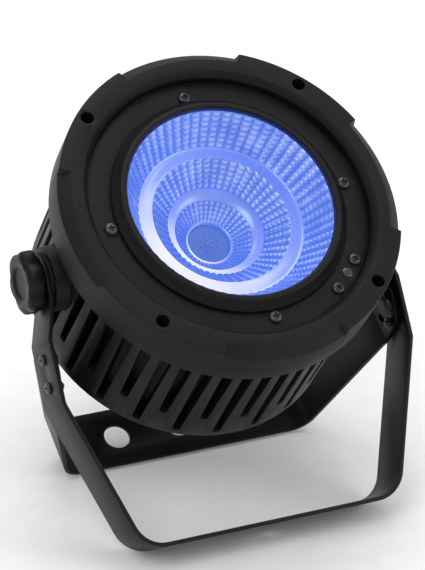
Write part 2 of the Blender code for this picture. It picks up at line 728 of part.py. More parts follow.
# arc slot for the lock screw: the screw's place in the stand's frame as the stand folds
def slot_bean(s):
    a0 = math.radians(stand_open_deg - stand_close_deg - 8.0)
    a1 = math.radians(stand_open_deg + stand_past_deg + 8.0)
    wide = m4_radius + gap
    n = 10
    outer, inner = [], []
    for i in range(n + 1):
        a = a0 + (a1 - a0) * i / n
        outer.append((-(lock_radius + wide) * math.sin(a), -(lock_radius + wide) * math.cos(a)))
        inner.append((-(lock_radius - wide) * math.sin(a), -(lock_radius - wide) * math.cos(a)))
    outline = outer + inner[::-1]
    bm = loft([[(x, y, z) for y, z in outline] for x in (tab_x - 0.02, tab_x + 0.02)])
    return bm if s > 0 else mirror_x(bm)


cut(stand, merged([slot_bean(1.0), slot_bean(-1.0)]))

# fold screws and lock screws, headed on the outside, with a nut inside
for name, s in (("left", -1.0), ("right", 1.0)):
    for label, down in (("stand_pivot_screw_", stand_attach), ("stand_lock_screw_", stand_attach + lock_radius)):
        inside_x = tab_x - strap_thickness - gap
        prof = [(m4_radius, inside_x - 0.0045), (m4_radius, inside_x - 0.0032), (0.0038, inside_x - 0.0032),
                (0.0038, inside_x), (m4_radius, inside_x), (m4_radius, leg_x + gap), (0.0040, leg_x + gap),
                (0.0040, leg_x + gap + 0.0010), (0.0022, leg_x + gap + 0.0020)]
        bm = turned(prof, 12, (0.0, -down))
        bm = along_x(bm, 1.0)
        if s < 0:
            mirror_x(bm)
        finish(label + name, bm, steel, yoke_frame)

# centre the whole light over the origin and stand it on the floor
bpy.context.view_layer.update()
low_corner = Vector((1e9, 1e9, 1e9))
high_corner = Vector((-1e9, -1e9, -1e9))
for ob in bpy.data.objects:
    if ob.type == 'MESH':
        for v in ob.data.vertices:
            w = ob.matrix_world @ v.co
            for i in range(3):
                low_corner[i] = min(low_corner[i], w[i])
                high_corner[i] = max(high_corner[i], w[i])
root.location = (0.0, -(low_corner.y + high_corner.y) / 2, -low_corner.z)
bpy.context.view_layer.update()
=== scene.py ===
import math

import bmesh
import bpy
from mathutils import Matrix, Vector


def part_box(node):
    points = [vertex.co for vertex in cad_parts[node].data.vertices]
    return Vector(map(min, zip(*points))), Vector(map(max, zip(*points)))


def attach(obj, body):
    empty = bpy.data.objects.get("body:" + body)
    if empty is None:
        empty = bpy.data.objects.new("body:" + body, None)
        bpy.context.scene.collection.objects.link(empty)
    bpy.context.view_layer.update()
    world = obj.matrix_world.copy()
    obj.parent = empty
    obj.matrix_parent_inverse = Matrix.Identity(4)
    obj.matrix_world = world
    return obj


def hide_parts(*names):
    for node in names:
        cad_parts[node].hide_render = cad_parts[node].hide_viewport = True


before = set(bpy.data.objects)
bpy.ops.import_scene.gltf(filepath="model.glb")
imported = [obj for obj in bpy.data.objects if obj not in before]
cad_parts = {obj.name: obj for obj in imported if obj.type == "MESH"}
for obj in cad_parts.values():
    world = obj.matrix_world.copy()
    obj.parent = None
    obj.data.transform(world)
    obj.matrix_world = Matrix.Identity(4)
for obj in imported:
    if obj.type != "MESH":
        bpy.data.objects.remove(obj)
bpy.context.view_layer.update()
print("frame loaded")

# stance, and the sizes that several pieces share (metres)
stance = {"lampTilt": math.radians(20.4), "standOpen": math.radians(65.1)}
places = {
    "plateScrews": {"circle": 0.0914, "first": 1.5, "step": 90.0},
    "sensorScrews": {"circle": 0.0968, "first": 322.4, "step": -16.9},
    "ringScrews": {"circle": 0.1172, "first": 45.0, "step": 90.0},
    "coverScrews": {"circle": 0.1013, "first": 45.0, "step": 90.0},
    "safetyEye": (0.0, 0.078),
    "foldBolts": 0.056,
    "lockBolts": 0.076,
    "buttonY": 0.022,
}
fit = {"gap": 0.0003, "strap": 0.0030, "front": 0.0737, "rear": -0.0666, "m4Hole": 0.0023,
       "studHole": 0.0043}


def middle(node):
    low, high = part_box(node)
    return (low + high) / 2


pivot = middle("knob_left")
pivot.x = 0.0
fold = middle("stand_pivot_screw_left")
fold.x = 0.0
lean = math.atan2(pivot.y - fold.y, pivot.z - fold.z)
lampTurn = math.pi / 2 - lean - stance["lampTilt"]
lampFrame = Matrix.Translation(pivot) @ Matrix.Rotation(lampTurn, 4, 'X')
yokeFrame = Matrix.Translation(pivot) @ Matrix.Rotation(-lean, 4, 'X')
standFrame = Matrix.Translation(fold) @ Matrix.Rotation(stance["standOpen"] - lean, 4, 'X')


# mesh helpers
def loft(loops, caps=True):
    bm = bmesh.new()
    rows = [[bm.verts.new(p) for p in loop] for loop in loops]
    count = len(rows[0])
    pairs = list(zip(rows[:-1], rows[1:]))
    if not caps:
        pairs.append((rows[-1], rows[0]))
    for a, b in pairs:
        for i in range(count):
            j = (i + 1) % count
            bm.faces.new((a[i], a[j], b[j], b[i]))
    if caps:
        bm.faces.new(rows[0][::-1])
        bm.faces.new(rows[-1])
    return bm


def polar(radius, degrees):
    a = math.radians(degrees)
    return (radius * math.cos(a), radius * math.sin(a))


def circle(radius, height, segments, at=(0.0, 0.0)):
    return [(at[0] + radius * math.cos(math.tau * i / segments),
             at[1] + radius * math.sin(math.tau * i / segments), height) for i in range(segments)]


def turned(profile, segments=64, at=(0.0, 0.0)):
    return loft([circle(r, z, segments, at) for r, z in profile])


def hoop(profile, segments=240):
    return loft([circle(r, z, segments) for r, z in profile], caps=False)


def block(x0, x1, y0, y1, z0, z1):
    return loft([[(x0, y0, z), (x1, y0, z), (x1, y1, z), (x0, y1, z)] for z in (z0, z1)])


def alongX(bm, side):
    bm.transform(Matrix(((0, 0, side, 0), (side, 0, 0, 0), (0, 1, 0, 0), (0, 0, 0, 1))))
    return bm


def mirrorX(bm):
    bm.transform(Matrix.Diagonal((-1.0, 1.0, 1.0, 1.0)))
    bmesh.ops.reverse_faces(bm, faces=bm.faces)
    return bm


def gathered(parts):
    out = bmesh.new()
    for part in parts:
        tmp = bpy.data.meshes.new("tmp")
        part.to_mesh(tmp)
        out.from_mesh(tmp)
        bpy.data.meshes.remove(tmp)
        part.free()
    return out


def piece(name, bm):
    bmesh.ops.remove_doubles(bm, verts=bm.verts, dist=1e-6)
    bmesh.ops.recalc_face_normals(bm, faces=bm.faces)
    me = bpy.data.meshes.new(name)
    bm.to_mesh(me)
    bm.free()
    ob = bpy.data.objects.new(name, me)
    bpy.context.scene.collection.objects.link(ob)
    return ob


def baked(ob):
    bpy.context.view_layer.update()
    graph = bpy.context.evaluated_depsgraph_get()
    new = bpy.data.meshes.new_from_object(ob.evaluated_get(graph))
    old = ob.data
    ob.modifiers.clear()
    ob.data = new
    bpy.data.meshes.remove(old)
    new.name = ob.name
    return ob


def carve(ob, bm, operation='DIFFERENCE'):
    tool = piece("tool", bm)
    mod = ob.modifiers.new("carve", 'BOOLEAN')
    mod.operation = operation
    mod.solver = 'EXACT'
    mod.object = tool
    baked(ob)
    bpy.data.objects.remove(tool, do_unlink=True)
    return ob


def soften(ob, width, segments=2, angle=28):
    mod = ob.modifiers.new("soften", 'BEVEL')
    mod.width = width
    mod.segments = segments
    mod.limit_method = 'ANGLE'
    mod.angle_limit = math.radians(angle)
    return baked(ob)


def copyTree():
    tree = bpy.data.node_groups.new("copiesRound", 'GeometryNodeTree')
    face = tree.interface
    face.new_socket(name="Geometry", in_out='INPUT', socket_type='NodeSocketGeometry')
    sockets = {}
    for label, kind in (("Count", 'NodeSocketInt'), ("Start", 'NodeSocketFloat'), ("Step",
                                                                                   'NodeSocketFloat'),
                        ("Radius", 'NodeSocketFloat'), ("Material", 'NodeSocketMaterial')):
        sockets[label] = face.new_socket(name=label, in_out='INPUT', socket_type=kind).identifier
    face.new_socket(name="Geometry", in_out='OUTPUT', socket_type='NodeSocketGeometry')
    nodes, links = tree.nodes, tree.links
    source = nodes.new('NodeGroupInput')
    points = nodes.new('GeometryNodePoints')
    index = nodes.new('GeometryNodeInputIndex')
    angle = nodes.new('ShaderNodeMath')
    angle.operation = 'MULTIPLY_ADD'
    links.new(index.outputs[0], angle.inputs[0])
    links.new(source.outputs["Step"], angle.inputs[1])
    links.new(source.outputs["Start"], angle.inputs[2])
    spot = nodes.new('ShaderNodeCombineXYZ')
    for axis, operation in ((0, 'COSINE'), (1, 'SINE')):
        wave = nodes.new('ShaderNodeMath')
        wave.operation = operation
        links.new(angle.outputs[0], wave.inputs[0])
        reach = nodes.new('ShaderNodeMath')
        reach.operation = 'MULTIPLY'
        links.new(wave.outputs[0], reach.inputs[0])
        links.new(source.outputs["Radius"], reach.inputs[1])
        links.new(reach.outputs[0], spot.inputs[axis])
    links.new(source.outputs["Count"], points.inputs["Count"])
    links.new(spot.outputs[0], points.inputs["Position"])
    euler = nodes.new('ShaderNodeCombineXYZ')
    links.new(angle.outputs[0], euler.inputs[2])
    turn = nodes.new('FunctionNodeEulerToRotation')
    links.new(euler.outputs[0], turn.inputs[0])
    copies = nodes.new('GeometryNodeInstanceOnPoints')
    links.new(points.outputs[0], copies.inputs["Points"])
    links.new(source.outputs["Geometry"], copies.inputs["Instance"])
    links.new(turn.outputs[0], copies.inputs["Rotation"])
    real = nodes.new('GeometryNodeRealizeInstances')
    links.new(copies.outputs[0], real.inputs[0])
    weld = nodes.new('GeometryNodeMergeByDistance')
    weld.inputs["Distance"].default_value = 0.000004
    links.new(real.outputs[0], weld.inputs["Geometry"])
    paint = nodes.new('GeometryNodeSetMaterial')
    links.new(weld.outputs[0], paint.inputs["Geometry"])
    links.new(source.outputs["Material"], paint.inputs["Material"])
    out = nodes.new('NodeGroupOutput')
    links.new(paint.outputs[0], out.inputs[0])
    return tree, sockets


copiesRound, copySockets = copyTree()


def repeated(ob, count, material, start=0.0, step=None, radius=0.0):
    mod = ob.modifiers.new("copies", 'NODES')
    mod.node_group = copiesRound
    mod[copySockets["Count"]] = count
    mod[copySockets["Start"]] = math.radians(start)
    mod[copySockets["Step"]] = math.tau / count if step is None else math.radians(step)
    mod[copySockets["Radius"]] = radius
    mod[copySockets["Material"]] = material
    return baked(ob)


def joined(name, obs):
    bm = bmesh.new()
    for ob in obs:
        bm.from_mesh(ob.data)
        old = ob.data
        bpy.data.objects.remove(ob, do_unlink=True)
        bpy.data.meshes.remove(old)
    me = bpy.data.meshes.new(name)
    bm.to_mesh(me)
    bm.free()
    out = bpy.data.objects.new(name, me)
    bpy.context.scene.collection.objects.link(out)
    return out


def mount(ob, place, body, material, nodes, sharp=32):
    me = ob.data
    spots = [0.0] * (3 * len(me.vertices))
    me.vertices.foreach_get("co", spots)
    old = me.attributes.get("place")
    if old is not None:
        me.attributes.remove(old)
    me.attributes.new("place", 'FLOAT_VECTOR', 'POINT').data.foreach_set("vector", spots)
    me.transform(place)
    me.materials.clear()
    me.materials.append(material)
    me.shade_smooth()
    me.set_sharp_from_angle(angle=math.radians(sharp))
    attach(ob, body)
    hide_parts(*nodes)
    return ob


# materials
def surface(name, look):
    m = bpy.data.materials.new(name)
    m.use_nodes = True
    nodes, links = m.node_tree.nodes, m.node_tree.links
    shader = nodes["Principled BSDF"]
    shader.inputs["Metallic"].default_value = look.get("metal", 0.0)
    shader.inputs["IOR"].default_value = look.get("ior", 1.5)
    shader.inputs["Specular IOR Level"].default_value = look.get("spec", 0.5)
    shader.inputs["Coat Weight"].default_value = look.get("coat", 0.0)
    shader.inputs["Coat Roughness"].default_value = 0.25
    where = nodes.new('ShaderNodeTexCoord')
    grain = nodes.new('ShaderNodeTexNoise')
    grain.inputs["Scale"].default_value = look["grain"]
    grain.inputs["Detail"].default_value = 3.0
    links.new(where.outputs["Object"], grain.inputs["Vector"])
    bump = nodes.new('ShaderNodeBump')
    bump.inputs["Strength"].default_value = look["bump"]
    bump.inputs["Distance"].default_value = 0.0004
    links.new(grain.outputs["Fac"], bump.inputs["Height"])
    links.new(bump.outputs["Normal"], shader.inputs["Normal"])
    patch = nodes.new('ShaderNodeTexNoise')
    patch.inputs["Scale"].default_value = look.get("patch", 18.0)
    patch.inputs["Detail"].default_value = 6.0
    links.new(where.outputs["Object"], patch.inputs["Vector"])
    rough = nodes.new('ShaderNodeMapRange')
    rough.inputs["From Min"].default_value = 0.3
    rough.inputs["From Max"].default_value = 0.7
    rough.inputs["To Min"].default_value = look["rough"][0]
    rough.inputs["To Max"].default_value = look["rough"][1]
    links.new(patch.outputs["Fac"], rough.inputs["Value"])
    links.new(rough.outputs["Result"], shader.inputs["Roughness"])
    tint = nodes.new('ShaderNodeMix')
    tint.data_type = 'RGBA'
    tint.inputs[6].default_value = (*look["dark"], 1.0)
    tint.inputs[7].default_value = (*look["light"], 1.0)
    speck = nodes.new('ShaderNodeMath')
    speck.operation = 'MULTIPLY'
    links.new(patch.outputs["Fac"], speck.inputs[0])
    links.new(grain.outputs["Fac"], speck.inputs[1])
    gain = nodes.new('ShaderNodeMapRange')
    gain.inputs["From Min"].default_value = 0.12
    gain.inputs["From Max"].default_value = 0.40
    links.new(speck.outputs[0], gain.inputs["Value"])
    links.new(gain.outputs["Result"], tint.inputs[0])
    links.new(tint.outputs[2], shader.inputs["Base Color"])
    m.diffuse_color = (*look["light"], 1.0)
    return m


looks = {
    "black_casting": {
        "dark": (0.0028, 0.0028, 0.003), "light": (0.0065, 0.0065, 0.0068),
        "rough": (0.42, 0.56), "spec": 0.2, "grain": 1300.0, "bump": 0.28,
    },
    "black_powder_coat": {
        "dark": (0.0028, 0.0028, 0.003), "light": (0.0065, 0.0065, 0.0068),
        "rough": (0.36, 0.48), "spec": 0.2, "grain": 1100.0, "bump": 0.22,
    },
    "zinc_steel": {
        "dark": (0.3, 0.31, 0.33), "light": (0.6, 0.61, 0.63),
        "rough": (0.2, 0.36), "metal": 1.0, "grain": 2200.0, "bump": 0.08,
    },
    "black_screw": {
        "dark": (0.03, 0.03, 0.032), "light": (0.075, 0.075, 0.08),
        "rough": (0.22, 0.34), "metal": 0.6, "grain": 1800.0, "bump": 0.06,
    },
    "black_rubber": {
        "dark": (0.006, 0.006, 0.006), "light": (0.012, 0.012, 0.012),
        "rough": (0.66, 0.82), "spec": 0.25, "grain": 900.0, "bump": 0.2,
    },
    "black_nylon": {
        "dark": (0.0035, 0.0035, 0.0038), "light": (0.0075, 0.0075, 0.0078),
        "rough": (0.32, 0.42), "spec": 0.14, "grain": 1700.0, "bump": 0.3,
    },
    "bare_aluminium": {
        "dark": (0.55, 0.56, 0.57), "light": (0.76, 0.77, 0.78),
        "rough": (0.28, 0.42), "metal": 1.0, "grain": 1500.0, "bump": 0.1,
    },
    "green_board": {
        "dark": (0.01, 0.11, 0.035), "light": (0.02, 0.2, 0.07),
        "rough": (0.28, 0.44), "grain": 500.0, "bump": 0.1, "patch": 160.0,
    },
    "dark_window": {
        "dark": (0.003, 0.008, 0.006), "light": (0.008, 0.03, 0.02),
        "rough": (0.05, 0.11), "grain": 300.0, "bump": 0.02, "coat": 0.6,
    },
    "blue_nylon": {
        "dark": (0.02, 0.075, 0.34), "light": (0.032, 0.11, 0.47),
        "rough": (0.4, 0.54), "grain": 1700.0, "bump": 0.22,
    },
    "grey_nylon": {
        "dark": (0.28, 0.29, 0.3), "light": (0.37, 0.38, 0.39),
        "rough": (0.4, 0.54), "grain": 1700.0, "bump": 0.22,
    },
}
paint = {name: surface(name, look) for name, look in looks.items()}


def litSurface(name, look):
    """Blue-lit mirror done as emission: the glow colour runs from deep to pale along a fixed side direction,
    with noise and a facet attribute added. On the reflector this is painted light: a glow standing in for the
    blue LED light it reflects, a painted highlight paler to the lower left and painted shade deep blue at the
    far side.
    """
    m = bpy.data.materials.new(name)
    m.use_nodes = True
    nodes, links = m.node_tree.nodes, m.node_tree.links
    shader = nodes["Principled BSDF"]
    shader.inputs["Metallic"].default_value = look["metal"]
    shader.inputs["Roughness"].default_value = look["rough"]
    place = nodes.new('ShaderNodeAttribute')
    place.attribute_name = "place"
    side = nodes.new('ShaderNodeVectorMath')
    side.operation = 'NORMALIZE'
    flat = nodes.new('ShaderNodeVectorMath')
    flat.operation = 'MULTIPLY'
    flat.inputs[1].default_value = (1.0, 1.0, 0.0)
    links.new(place.outputs["Vector"], flat.inputs[0])
    links.new(flat.outputs[0], side.inputs[0])
    # painted light: the side facing the toward direction is painted paler
    toward = nodes.new('ShaderNodeVectorMath')
    toward.operation = 'DOT_PRODUCT'
    toward.inputs[1].default_value = (*look["toward"], 0.0)
    links.new(side.outputs[0], toward.inputs[0])
    grain = nodes.new('ShaderNodeTexNoise')
    grain.inputs["Scale"].default_value = look["grain"]
    grain.inputs["Detail"].default_value = 2.0
    links.new(place.outputs["Vector"], grain.inputs["Vector"])
    mottle = nodes.new('ShaderNodeMath')
    mottle.operation = 'MULTIPLY_ADD'
    mottle.inputs[1].default_value = look["mottle"]
    links.new(grain.outputs["Fac"], mottle.inputs[0])
    # painted facet highlight: raised facet crowns are painted lighter
    paintedFacetHighlight = nodes.new('ShaderNodeAttribute')
    paintedFacetHighlight.attribute_name = "paintedFacetHighlight"
    raised = nodes.new('ShaderNodeMath')
    raised.operation = 'MULTIPLY_ADD'
    raised.inputs[1].default_value = look.get("paintedFacetHighlight", 0.0)
    links.new(paintedFacetHighlight.outputs["Fac"], raised.inputs[0])
    links.new(toward.outputs["Value"], raised.inputs[2])
    links.new(raised.outputs[0], mottle.inputs[2])
    # ramp from painted shade (deep) through mid to painted highlight (pale)
    ramp = nodes.new('ShaderNodeValToRGB')
    stops = ramp.color_ramp.elements
    stops[0].position = 0.0
    stops[0].color = (*look["deep"], 1.0)
    stops[1].position = 1.0
    stops[1].color = (*look["pale"], 1.0)
    between = stops.new(look["middle"])
    between.color = (*look["mid"], 1.0)
    span = nodes.new('ShaderNodeMapRange')
    span.inputs["From Min"].default_value = look["from"]
    span.inputs["From Max"].default_value = look["to"]
    links.new(mottle.outputs[0], span.inputs["Value"])
    links.new(span.outputs["Result"], ramp.inputs["Fac"])
    shader.inputs["Base Color"].default_value = (*look["tint"], 1.0)
    links.new(ramp.outputs["Color"], shader.inputs["Emission Color"])
    shader.inputs["Emission Strength"].default_value = look["glow"]
    return m


# reflector facets: emission glow as painted reflection of the blue LED light, paler toward one side and on
# the facet crowns as painted highlight, deep blue as painted shade
facetLook = {"metal": 0.9, "rough": 0.12, "toward": (0.22, 0.28), "grain": 70.0, "mottle": 1.5,
             "middle": 0.52,
             "from": 0.15, "to": 2.5, "deep": (0.030, 0.090, 0.52), "mid": (0.085, 0.185, 0.68),
             "pale": (0.52, 0.62, 0.98), "glow": 0.78, "tint": (0.14, 0.19, 0.42), "paintedFacetHighlight": 1.25}
# reflector bands: painted near-white highlight toward the lower left over a painted blue glow
bandLook = {"metal": 0.8, "rough": 0.26, "toward": (-0.78, -0.62), "grain": 14.0, "mottle": 0.5,
            "middle": 0.62,
            "from": -0.8, "to": 1.20, "deep": (0.10, 0.19, 0.68), "mid": (0.26, 0.34, 0.82),
            "pale": (0.94, 0.95, 1.0), "glow": 0.92, "tint": (0.16, 0.20, 0.40)}
facetPaint = litSurface("reflector_facets", facetLook)
bandPaint = litSurface("reflector_bands", bandLook)
emitterPaint = litSurface("emitter", {"metal": 0.0, "rough": 0.35, "toward": (0.2, 0.2), "grain": 300.0,
                                      "mottle": 0.3, "middle": 0.5, "from": -1.2, "to": 1.6,
                                      "deep": (0.055, 0.13, 0.55), "mid": (0.075, 0.17, 0.62),
                                      "pale": (0.12, 0.23, 0.72), "glow": 0.80, "tint": (0.03, 0.06, 0.20)})
# reflector rim: near-black blue glow, painted shade of the gap between reflector edge and bezel; the emitter
# dots share it
gapPaint = litSurface("reflector_rim", {"metal": 0.0, "rough": 0.6, "toward": (0.3, 0.3), "grain": 80.0,
                                        "mottle": 0.3, "middle": 0.5, "from": -1.0, "to": 1.5,
                                        "deep": (0.001, 0.004, 0.055), "mid": (0.002, 0.010, 0.12),
                                        "pale": (0.004, 0.02, 0.20), "glow": 0.9, "tint": (0.001, 0.002,
                                                                                           0.012)})


def clearGlass():
    m = surface("clear_glass", {"dark": (0.010, 0.014, 0.030), "light": (0.016, 0.022, 0.045),
                                "rough": (0.02, 0.05),
                                "grain": 90.0, "bump": 0.01})
    m.node_tree.nodes["Principled BSDF"].inputs["Alpha"].default_value = 0.06
    return m


glassPaint = clearGlass()
print("materials built")

# front ring
ring = {"radius": 0.125, "pads": (45, 135, 225, 315), "padHalf": 23.0, "step": 1.25, "hole": 0.0049}


def ringSection(angle):
    nearest = min(abs((angle - a + 180) % 360 - 180) for a in ring["pads"])
    pad = min(1.0, max(0.0, (ring["padHalf"] + 0.35 - nearest) / 0.7))
    r, front = ring["radius"], fit["front"]
    return [(r - 0.0210, front - 0.005), (r - 0.0171, front), (r - 0.0084, front),
            (r - 0.0084 + pad * 0.0076, front - pad * 0.0004), (r, front - 0.0077 + pad * 0.0065), (r,
                                                                                                    0.0398),
            (r - 0.0008, 0.0390), (0.1215, 0.0390), (0.1215, 0.0520), (r - 0.0210, 0.0520)]


def frontRing():
    angles = set(ring["step"] * i for i in range(int(360 / ring["step"])))
    for a in ring["pads"]:
        angles = {b for b in angles if abs(abs((b - a + 180) % 360 - 180) - ring["padHalf"]) > 0.8}
        for off in (-0.35, 0.35):
            angles |= {(a + ring["padHalf"] + off) % 360, (a - ring["padHalf"] + off) % 360}
    rows = [[(*polar(r, a), z) for r, z in ringSection(a)] for a in sorted(angles)]
    ob = piece("frontRingShell", loft(rows, caps=False))
    sides = [(fit["m4Hole"], 0.050), (fit["m4Hole"], 0.0570), (ring["hole"], 0.0571), (ring["hole"], 0.080)]
    holes = [turned(sides, 48, polar(places["ringScrews"]["circle"], a)) for a in ring["pads"]]
    carve(ob, gathered(holes))
    return soften(ob, 0.0006)


mount(frontRing(), lampFrame, "lamp", paint["black_casting"], ["front_ring"])

# screws: a pan head with a cross recess, copied round its circle
screw = {"arm": 0.38, "armWide": 0.13, "deep": 0.62}


def screwHead(name, sizes, seat, flip=1.0):
    head, height, shank, length = (sizes[k] for k in ("head", "height", "shank", "length"))
    profile = [(shank * 0.7, -length), (shank, -length + 0.0006), (shank, 0.0), (head * 0.96, 0.0),
               (head, height * 0.12), (head, height * 0.42), (head * 0.93, height * 0.66), (head * 0.74,
                                                                                            height * 0.88),
               (head * 0.45, height * 0.98)]
    ob = piece(name, turned(profile, 48))
    arm, wide = head * screw["arm"] * 1.35, head * screw["armWide"]
    low = height * (1.0 - screw["deep"])
    cross = [block(-arm, arm, -wide, wide, low, height * 1.2), block(-wide, wide, -arm, arm, low,
                                                                     height * 1.2),
             turned([(head * 0.10, low - height * 0.2), (head * 0.30, height * 1.2)], 24)]
    for cutter in cross:
        carve(ob, cutter)
    ob.data.transform(Matrix.Translation((0.0, 0.0, seat)) @ Matrix.Diagonal((1.0, 1.0, flip, 1.0)))
    if flip < 0:
        ob.data.flip_normals()
    return ob


darkScrew = paint["black_screw"]
screwKinds = {
    "ringScrews": {"node": "ring_screw_%d", "count": 4, "seat": 0.0574, "flip": 1.0,
                   "sizes": {"head": 0.0036, "height": 0.0030, "shank": 0.0020, "length": 0.0098}},
    "plateScrews": {"node": "plate_screw_%d", "count": 4, "seat": 0.0643, "flip": 1.0,
                    "sizes": {"head": 0.0047, "height": 0.0024, "shank": 0.0020, "length": 0.0090}},
    "sensorScrews": {"node": "sensor_screw_%d", "count": 2, "seat": 0.0643, "flip": 1.0,
                     "sizes": {"head": 0.0047, "height": 0.0024, "shank": 0.0020, "length": 0.0090}},
    "coverScrews": {"node": "rear_cover_screw_%d", "count": 4, "seat": -0.0666, "flip": -1.0,
                    "sizes": {"head": 0.0030, "height": 0.0019, "shank": 0.0015, "length": 0.0100}},
}
for name, kind in screwKinds.items():
    spots, nodes = places[name], [kind["node"] % (i + 1) for i in range(kind["count"])]
    ob = screwHead(name, kind["sizes"], kind["seat"], kind["flip"])
    repeated(ob, kind["count"], darkScrew, spots["first"], spots["step"], spots["circle"])
    mount(ob, lampFrame, "lamp", darkScrew, nodes)
print("ring and screws built")

# finned casting: one short and one long slot, copied round the axis
casting = {"front": 0.1171, "back": 0.1156, "slots": 48, "floor": 0.1031, "wide": (0.0047, 0.0030),
           "top": 0.0460,
           "shortEnd": -0.0403, "longEnd": -0.0613, "round": 7}


def wallRadius(z):
    t = (casting["top"] - z) / (casting["top"] - fit["rear"])
    return casting["front"] - (casting["front"] - casting["back"]) * t


def slotLine(rear):
    wide, narrow = casting["wide"]
    line = [(wide, casting["top"])]
    for i in range(casting["round"] + 1):
        a = math.pi / 2 * i / casting["round"]
        line.append((narrow * math.cos(a), rear + narrow * (1 - math.sin(a))))
    return line


def castingSector():
    bm = bmesh.new()
    half = math.pi / casting["slots"]
    top, rear = casting["top"], fit["rear"]
    ends = (casting["shortEnd"], casting["longEnd"])
    levels = sorted({z for e in ends for _, z in slotLine(e)} | {rear}, reverse=True)
    back = [(0.1212, top), (0.1212, 0.0517), (0.1037, 0.0517), (0.1037, 0.0607), (0.0840, 0.0607), (0.0840,
                                                                                                    0.0500),
            (0.0991, 0.0500), (0.0991, -0.0540), (0.0961, -0.0570), (0.0961, -0.0630), (0.1061, -0.0630),
            (0.1061, rear), (casting["back"], rear)]
    for k, end in enumerate(ends):
        turn = Matrix.Rotation(2 * half * k, 3, 'Z')

        def spot(radius, angle, z):
            return bm.verts.new(turn @ Vector((radius * math.cos(angle), radius * math.sin(angle), z)))

        def flat(x, w, z):
            return bm.verts.new(turn @ Vector((x, w, z)))

        line = slotLine(end)
        mouths, floors = [], []
        rim = {side: spot(0.1212, side * half, top) for side in (-1, 1)}
        rearMid = spot(casting["back"], 0.0, rear)
        for side in (-1, 1):
            column = [(z, spot(wallRadius(z), side * half, z)) for z in levels]
            lip = [flat(math.sqrt(wallRadius(z) ** 2 - w * w), side * w, z) for w, z in line]
            low = [flat(casting["floor"], side * w, z) for w, z in line]
            for i in range(len(line) - 1):
                here = [v for z, v in column if line[i + 1][1] - 1e-9 <= z <= line[i][1] + 1e-9]
                for u, v in zip(here[:-1], here[1:]):
                    bm.faces.new((lip[i], u, v))
                bm.faces.new((lip[i], here[-1] if here else column[-1][1], lip[i + 1]))
                bm.faces.new((lip[i], lip[i + 1], low[i + 1], low[i]))
            below = [v for z, v in column if z <= line[-1][1] + 1e-9]
            for u, v in zip(below[:-1], below[1:]):
                bm.faces.new((lip[-1], u, v))
            bm.faces.new((lip[-1], below[-1], rearMid))
            bm.faces.new((rim[side], column[0][1], lip[0]))
            mouths.append(lip[0])
            floors.append(low)
        bm.faces.new((rim[-1], mouths[0], mouths[1]))
        bm.faces.new((rim[-1], mouths[1], rim[1]))
        bm.faces.new((mouths[0], floors[0][0], floors[1][0], mouths[1]))
        bm.faces.new(floors[0][:-1] + floors[1][::-1])
        rows = [[spot(r, -half, z), spot(r, 0.0, z), spot(r, half, z)] for r, z in back[:-1]]
        rows[0][1].co = (rows[0][0].co + rows[0][2].co) / 2
        last = [spot(casting["back"], -half, rear), rearMid, spot(casting["back"], half, rear)]
        rows.append(last)
        for a, b in zip(rows[:-1], rows[1:]):
            bm.faces.new((a[0], a[1], b[1], b[0]))
            bm.faces.new((a[1], a[2], b[2], b[1]))
    return bm


sector = piece("finnedCasting", castingSector())
repeated(sector, casting["slots"] // 2, paint["black_casting"])
tidy = bmesh.new()
tidy.from_mesh(sector.data)
bmesh.ops.remove_doubles(tidy, verts=tidy.verts, dist=2e-6)
bmesh.ops.recalc_face_normals(tidy, faces=tidy.faces)
tidy.to_mesh(sector.data)
tidy.free()
carve(sector, gathered([alongX(turned([(0.0238, 0.1013), (0.0238, 0.135)], 96), s) for s in (1.0, -1.0)]))
soften(sector, 0.00045, 2, 32)
mount(sector, lampFrame, "lamp", paint["black_casting"], ["housing"])
print("casting built")

# front plate, bezel, seal, glass and sensor
plate = {"inner": 0.0790, "outer": 0.1037, "low": 0.0610, "high": 0.0640, "window": 0.0042,
         "windowAt": 0.0958}
ob = piece("frontPlate", hoop([(plate["inner"], plate["low"]), (plate["outer"], plate["low"]),
                               (plate["outer"], plate["high"]), (plate["inner"], plate["high"])], 288))
holes = []
for name in ("plateScrews", "sensorScrews"):
    spots = places[name]
    for i in range(screwKinds[name]["count"]):
        at = polar(spots["circle"], spots["first"] + spots["step"] * i)
        holes.append(turned([(fit["m4Hole"], 0.060), (fit["m4Hole"], 0.065)], 24, at))
holes.append(turned([(plate["window"], 0.060), (plate["window"], 0.065)], 48, polar(plate["windowAt"],
                                                                                    315.0)))
holes.append(turned([(0.0010, 0.0628), (0.0018, 0.0646)], 32, polar(0.1012, 110.8)))
carve(ob, gathered(holes))
soften(ob, 0.0003)
mount(ob, lampFrame, "lamp", paint["black_casting"], ["front_plate"])

window = [(0.0039, 0.0612), (0.0039, 0.0640), (0.0037, 0.0644), (0.0028, 0.0647), (0.0012, 0.0648)]
mount(piece("sensorWindow", turned(window, 48, polar(plate["windowAt"], 315.0))), lampFrame, "lamp",
      paint["dark_window"], ["sensor_window"])

